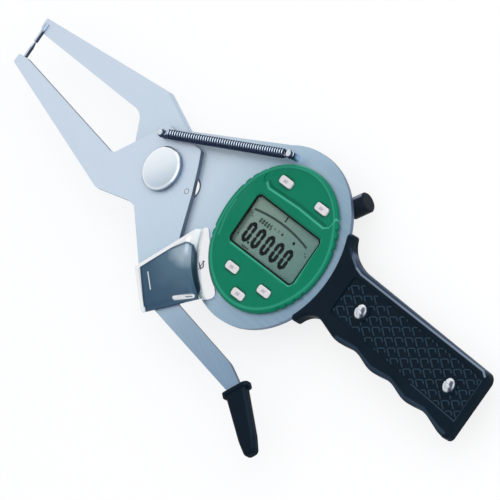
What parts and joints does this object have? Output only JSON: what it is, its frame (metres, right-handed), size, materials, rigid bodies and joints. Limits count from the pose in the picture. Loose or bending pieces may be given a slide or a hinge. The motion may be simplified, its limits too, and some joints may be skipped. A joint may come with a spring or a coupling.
{
  "type": "digital outside caliper gauge",
  "caption": "Flat steel outside caliper gauge with long slim jaws, a round rotating digital display, a finger lever and a pistol-type black handle.",
  "frame": {"origin": "bottom centre of the bounding box", "axes": "+X from the jaws to the end of the handle, +Y towards the extension spring side, +Z out of the display face"},
  "size_m": [0.3034, 0.113, 0.0207],
  "materials": {
    "steel_plate": "fine satin ground sheet steel, bare",
    "steel_arm": "fine satin ground sheet steel, bare",
    "polished_steel": "mirror polished pressed sheet",
    "bright_cap": "finely turned, bright rim",
    "pin_steel": "ground hardened steel",
    "post_steel": "bright turned steel",
    "spring_steel": "bright spring wire",
    "screw_steel": "bright machine screws",
    "brass": "reamed bearing bushes",
    "black_handle": "moulded black with checkered panel, satin edges",
    "black_rubber": "smooth black rubber sleeve",
    "black_stub": "glossy black moulded cap",
    "green_housing": "moulded deep green, semi-gloss",
    "black_frame": "matt black",
    "lcd_glass": "clear flat window",
    "lcd_reflector": "grey-green liquid crystal panel",
    "white_key": "white moulded keys",
    "grey_case": "dark grey satin case",
    "circuit_board": "circuit board laminate",
    "cell_can": "nickel plated can"
  },
  "bodies": {
    "frame": {"back_cover": "grey_case", "back_cover_screws": "screw_steel", "battery_cell": "cell_can", "battery_cover": "grey_case", "body_plate": "steel_plate", "case_screws": "screw_steel", "extension_spring": "spring_steel", "fixed_contact_pin": "pin_steel", "guard_cover": "polished_steel", "guard_screw": "screw_steel", "handle_front_scale": "black_handle", "handle_nuts": "screw_steel", "handle_rear_scale": "black_handle", "handle_screws": "screw_steel", "indicator_case": "grey_case", "pivot_cap": "bright_cap", "pivot_nut": "pin_steel", "pivot_pin": "pin_steel", "pivot_washers": "pin_steel", "plate_spring_post": "post_steel", "return_spring": "spring_steel", "sensor_board": "circuit_board", "spindle_bushes": "brass", "spindle_cap": "black_stub", "stem": "pin_steel"},
    "arm": {"moving_arm": "steel_arm", "moving_contact_pin": "pin_steel", "contact_anvil": "pin_steel", "stop_pin": "pin_steel", "arm_spring_post": "post_steel", "lever_grip": "black_rubber"},
    "spindle": {"spindle": "pin_steel", "contact_point": "pin_steel", "scale_carrier": "grey_case", "linear_scale": "circuit_board"},
    "display_head": {"display_housing": "green_housing", "retaining_ring": "black_frame", "lcd_panel": "lcd_reflector", "lcd_window": "lcd_glass", "lcd_gasket": "black_frame", "key_mat": "black_frame", "display_board": "circuit_board"},
    "key_left_top": {"key_left_top": "white_key"},
    "key_right_top": {"key_right_top": "white_key"},
    "key_left_low": {"key_left_low": "white_key"},
    "key_middle_low": {"key_middle_low": "white_key"},
    "key_right_low": {"key_right_low": "white_key"}
  },
  "joints": [
    {"name": "arm_pivot", "type": "hinge", "parent": "frame", "child": "arm", "pos_m": [-0.05147, 0.01302, 0.0155], "axis": [0, 0, 1], "range_deg": [0, 6.5], "stiffness_Nm_per_rad": 0.3, "springref_deg": -28.65, "deforming": ["extension_spring"]},
    {"name": "spindle_slide", "type": "slide", "parent": "frame", "child": "spindle", "axis": [0.6157, 0.788, 0], "range_m": [0, 0.00554], "stiffness_N_per_m": 50, "springref_m": -0.004, "deforming": ["return_spring"]},
    {"name": "display_turn", "type": "hinge", "parent": "frame", "child": "display_head", "pos_m": [0.01673, 0.01802, 0.0142], "axis": [0, 0, 1], "range_deg": [-198, 122]},
    {"name": "press_left_top", "type": "slide", "parent": "display_head", "child": "key_left_top", "axis": [0, 0, -1], "range_m": [0, 0.0004], "stiffness_N_per_m": 2000, "springref_m": -0.0003},
    {"name": "press_right_top", "type": "slide", "parent": "display_head", "child": "key_right_top", "axis": [0, 0, -1], "range_m": [0, 0.0004], "stiffness_N_per_m": 2000, "springref_m": -0.0003},
    {"name": "press_left_low", "type": "slide", "parent": "display_head", "child": "key_left_low", "axis": [0, 0, -1], "range_m": [0, 0.0004], "stiffness_N_per_m": 2000, "springref_m": -0.0003},
    {"name": "press_middle_low", "type": "slide", "parent": "display_head", "child": "key_middle_low", "axis": [0, 0, -1], "range_m": [0, 0.0004], "stiffness_N_per_m": 2000, "springref_m": -0.0003},
    {"name": "press_right_low", "type": "slide", "parent": "display_head", "child": "key_right_low", "axis": [0, 0, -1], "range_m": [0, 0.0004], "stiffness_N_per_m": 2000, "springref_m": -0.0003}
  ],
  "couplings": [
    {"joint": "spindle_slide", "follows": "arm_pivot", "m_per_rad": 0.048784}
  ]
}
